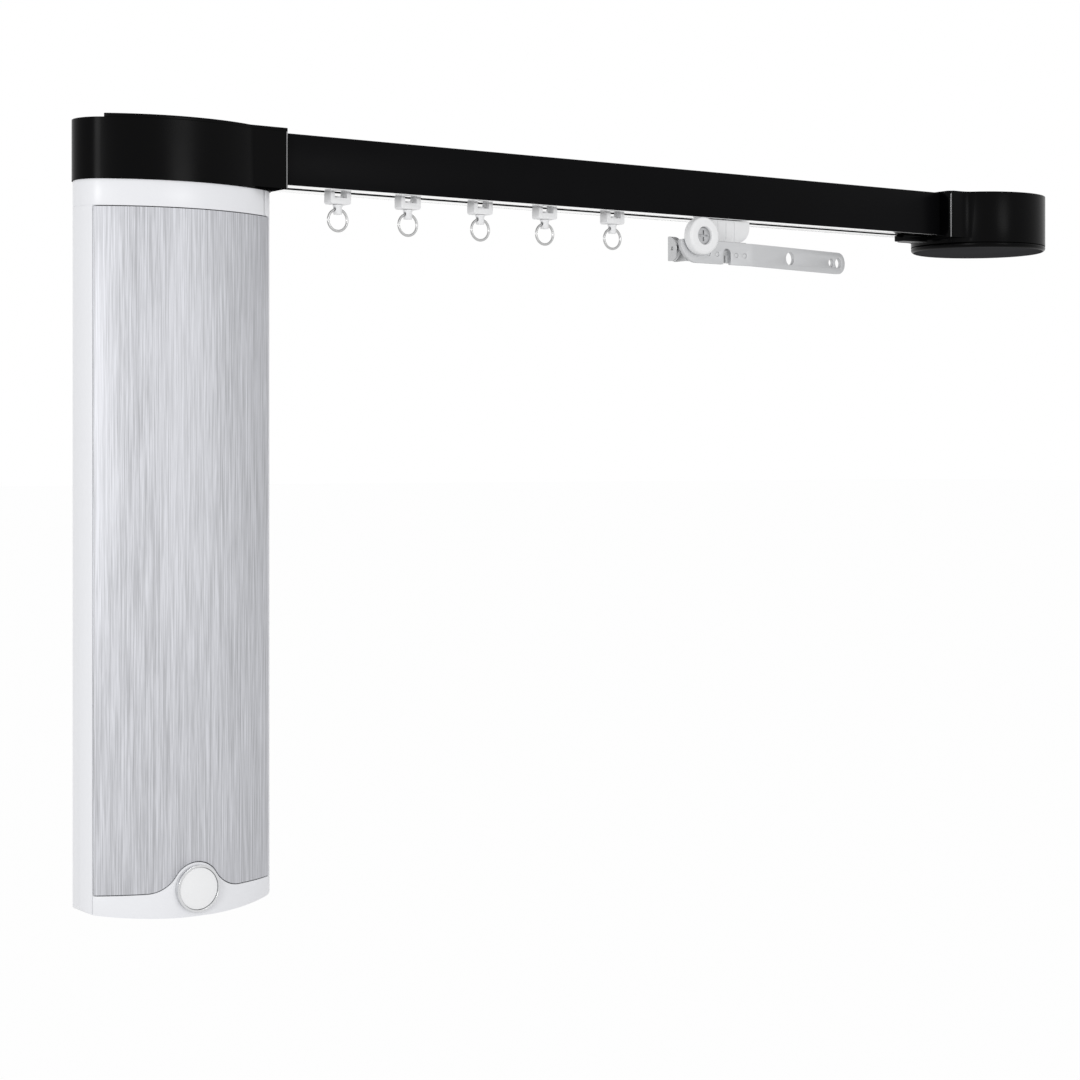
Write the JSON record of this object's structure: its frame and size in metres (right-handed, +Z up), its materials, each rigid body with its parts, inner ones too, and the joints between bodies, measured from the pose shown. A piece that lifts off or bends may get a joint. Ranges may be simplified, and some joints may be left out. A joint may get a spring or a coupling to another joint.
{
  "type": "electric curtain track",
  "caption": "Motorised curtain track: hanging gear motor, black slotted track with a belt inside, master carrier with a curtain arm, ringed gliders and a round idler end.",
  "frame": {"origin": "on the drive axis, in the top face of the motor's head, which goes against the ceiling", "axes": "+X along the track away from the motor, +Y to the wall behind, +Z up"},
  "size_m": [0.507, 0.0646, 0.299],
  "materials": {
    "white_shell": "smooth moulded white",
    "brushed_cover": "brushed lengthways and clear anodised",
    "badge_chrome": "polished",
    "badge_gloss": "glossy silver white, bare",
    "machine_steel": "turned",
    "rotor_iron": "laminated and wound",
    "gear_nylon": "moulded",
    "board": "solder mask",
    "capacitor_sleeve": "shrunk sleeve",
    "socket_plastic": "moulded",
    "button_plastic": "moulded",
    "black_shell": "satin moulded black",
    "pulley_metal": "hard anodised",
    "bearing_brass": "sintered",
    "black_track": "glossy black anodised",
    "belt_rubber": "moulded",
    "nylon": "moulded nylon",
    "ring_wire": "bright nickel wire",
    "arm_steel": "satin zinc plated",
    "bracket_steel": "satin zinc plated",
    "bumper_metal": "turned and ribbed"
  },
  "bodies": {
    "frame": {"rear_shell": "white_shell", "collar": "white_shell", "bottom_cap": "white_shell", "front_cover": "brushed_cover", "badge_ring": "badge_chrome", "badge_disc": "badge_gloss", "chassis": "machine_steel", "motor_can": "machine_steel", "ring_gear": "machine_steel", "gearbox_lid": "machine_steel", "idler_axle": "machine_steel", "tension_screw": "machine_steel", "head_screws": "machine_steel", "case_screws": "machine_steel", "circuit_board": "board", "capacitor": "capacitor_sleeve", "power_inlet": "socket_plastic", "data_socket": "socket_plastic", "program_switch": "socket_plastic", "head_housing": "black_shell", "head_lid": "black_shell", "idler_housing": "black_shell", "idler_cover": "black_shell", "end_stop": "black_shell", "pulley_bearing": "bearing_brass", "tension_block": "bearing_brass", "track_profile": "black_track", "drive_belt": "belt_rubber"},
    "output": {"planet_carrier": "machine_steel", "drive_pulley": "pulley_metal"},
    "rotor": {"rotor": "rotor_iron"},
    "planet_1": {"planet_gear_1": "gear_nylon"},
    "planet_2": {"planet_gear_2": "gear_nylon"},
    "planet_3": {"planet_gear_3": "gear_nylon"},
    "idler": {"idler_pulley": "pulley_metal"},
    "master": {"carriage_body": "nylon", "belt_clamp": "machine_steel", "curtain_arm": "arm_steel", "arm_bracket": "bracket_steel", "disc_screw": "machine_steel", "bumper_bolt": "bumper_metal", "arm_rivets": "arm_steel"},
    "guide_disc": {"guide_disc": "nylon"},
    "button": {"program_button": "button_plastic"},
    "glider_1": {"glider_body_1": "nylon"},
    "swivel_1": {"eyelet_1": "nylon"},
    "hook_ring_1": {"ring_1": "ring_wire"},
    "glider_2": {"glider_body_2": "nylon"},
    "swivel_2": {"eyelet_2": "nylon"},
    "hook_ring_2": {"ring_2": "ring_wire"},
    "glider_3": {"glider_body_3": "nylon"},
    "swivel_3": {"eyelet_3": "nylon"},
    "hook_ring_3": {"ring_3": "ring_wire"},
    "glider_4": {"glider_body_4": "nylon"},
    "swivel_4": {"eyelet_4": "nylon"},
    "hook_ring_4": {"ring_4": "ring_wire"},
    "glider_5": {"glider_body_5": "nylon"},
    "swivel_5": {"eyelet_5": "nylon"},
    "hook_ring_5": {"ring_5": "ring_wire"}
  },
  "joints": [
    {"name": "master_slide", "type": "slide", "parent": "frame", "child": "master", "axis": [1, 0, 0], "range_m": [-0.11, 0.088]},
    {"name": "output_spin", "type": "hinge", "parent": "frame", "child": "output", "pos_m": [0, 0, -0.01], "axis": [0, 0, 1], "range_deg": [-843, 675]},
    {"name": "rotor_spin", "type": "hinge", "parent": "frame", "child": "rotor", "pos_m": [0, 0, -0.1], "axis": [0, 0, 1], "range_deg": [-4204, 3364]},
    {"name": "planet_1_spin", "type": "hinge", "parent": "output", "child": "planet_1", "pos_m": [0.009, 0, -0.05], "axis": [0, 0, 1], "range_deg": [-1795, 2243]},
    {"name": "planet_2_spin", "type": "hinge", "parent": "output", "child": "planet_2", "pos_m": [-0.0045, 0.00779, -0.05], "axis": [0, 0, 1], "range_deg": [-1795, 2243]},
    {"name": "planet_3_spin", "type": "hinge", "parent": "output", "child": "planet_3", "pos_m": [-0.0045, -0.00779, -0.05], "axis": [0, 0, 1], "range_deg": [-1795, 2243]},
    {"name": "idler_spin", "type": "hinge", "parent": "frame", "child": "idler", "pos_m": [0.4343, 0, -0.01], "axis": [0, 0, 1], "range_deg": [-843, 675]},
    {"name": "guide_disc_spin", "type": "hinge", "parent": "master", "child": "guide_disc", "pos_m": [0.248, -0.015, -0.0304], "axis": [0, 1, 0], "continuous": true},
    {"name": "glider_1_slide", "type": "slide", "parent": "frame", "child": "glider_1", "axis": [1, 0, 0], "range_m": [-0.02305, 0.01854]},
    {"name": "eyelet_1_swivel", "type": "hinge", "parent": "glider_1", "child": "swivel_1", "pos_m": [0.0725, 0, -0.02825], "axis": [0, 0, 1], "continuous": true},
    {"name": "ring_1_swing", "type": "hinge", "parent": "swivel_1", "child": "hook_ring_1", "pos_m": [0.0725, 0, -0.02825], "axis": [1, 0, 0], "range_deg": [-60, 60]},
    {"name": "glider_2_slide", "type": "slide", "parent": "frame", "child": "glider_2", "axis": [1, 0, 0], "range_m": [-0.0401, 0.03218]},
    {"name": "eyelet_2_swivel", "type": "hinge", "parent": "glider_2", "child": "swivel_2", "pos_m": [0.1055, 0, -0.02825], "axis": [0, 0, 1], "continuous": true},
    {"name": "ring_2_swing", "type": "hinge", "parent": "swivel_2", "child": "hook_ring_2", "pos_m": [0.1055, 0, -0.02825], "axis": [1, 0, 0], "range_deg": [-60, 60]},
    {"name": "glider_3_slide", "type": "slide", "parent": "frame", "child": "glider_3", "axis": [1, 0, 0], "range_m": [-0.05935, 0.04758]},
    {"name": "eyelet_3_swivel", "type": "hinge", "parent": "glider_3", "child": "swivel_3", "pos_m": [0.141, 0, -0.02825], "axis": [0, 0, 1], "continuous": true},
    {"name": "ring_3_swing", "type": "hinge", "parent": "swivel_3", "child": "hook_ring_3", "pos_m": [0.141, 0, -0.02825], "axis": [1, 0, 0], "range_deg": [-60, 60]},
    {"name": "glider_4_slide", "type": "slide", "parent": "frame", "child": "glider_4", "axis": [1, 0, 0], "range_m": [-0.0764, 0.06122]},
    {"name": "eyelet_4_swivel", "type": "hinge", "parent": "glider_4", "child": "swivel_4", "pos_m": [0.174, 0, -0.02825], "axis": [0, 0, 1], "continuous": true},
    {"name": "ring_4_swing", "type": "hinge", "parent": "swivel_4", "child": "hook_ring_4", "pos_m": [0.174, 0, -0.02825], "axis": [1, 0, 0], "range_deg": [-60, 60]},
    {"name": "glider_5_slide", "type": "slide", "parent": "frame", "child": "glider_5", "axis": [1, 0, 0], "range_m": [-0.0962, 0.07706]},
    {"name": "eyelet_5_swivel", "type": "hinge", "parent": "glider_5", "child": "swivel_5", "pos_m": [0.21, 0, -0.02825], "axis": [0, 0, 1], "continuous": true},
    {"name": "ring_5_swing", "type": "hinge", "parent": "swivel_5", "child": "hook_ring_5", "pos_m": [0.21, 0, -0.02825], "axis": [1, 0, 0], "range_deg": [-60, 60]},
    {"name": "button_press", "type": "slide", "parent": "frame", "child": "button", "axis": [0, 0, 1], "range_m": [0, 0.001], "stiffness_N_per_m": 400}
  ],
  "couplings": [
    {"joint": "output_spin", "follows": "master_slide", "rad_per_m": 133.33},
    {"joint": "rotor_spin", "follows": "master_slide", "rad_per_m": 666.67},
    {"joint": "planet_1_spin", "follows": "master_slide", "rad_per_m": -355.56},
    {"joint": "planet_2_spin", "follows": "master_slide", "rad_per_m": -355.56},
    {"joint": "planet_3_spin", "follows": "master_slide", "rad_per_m": -355.56},
    {"joint": "idler_spin", "follows": "master_slide", "rad_per_m": 133.33},
    {"joint": "glider_1_slide", "follows": "master_slide", "ratio": 0.205},
    {"joint": "glider_2_slide", "follows": "master_slide", "ratio": 0.36},
    {"joint": "glider_3_slide", "follows": "master_slide", "ratio": 0.535},
    {"joint": "glider_4_slide", "follows": "master_slide", "ratio": 0.69},
    {"joint": "glider_5_slide", "follows": "master_slide", "ratio": 0.87}
  ]
}
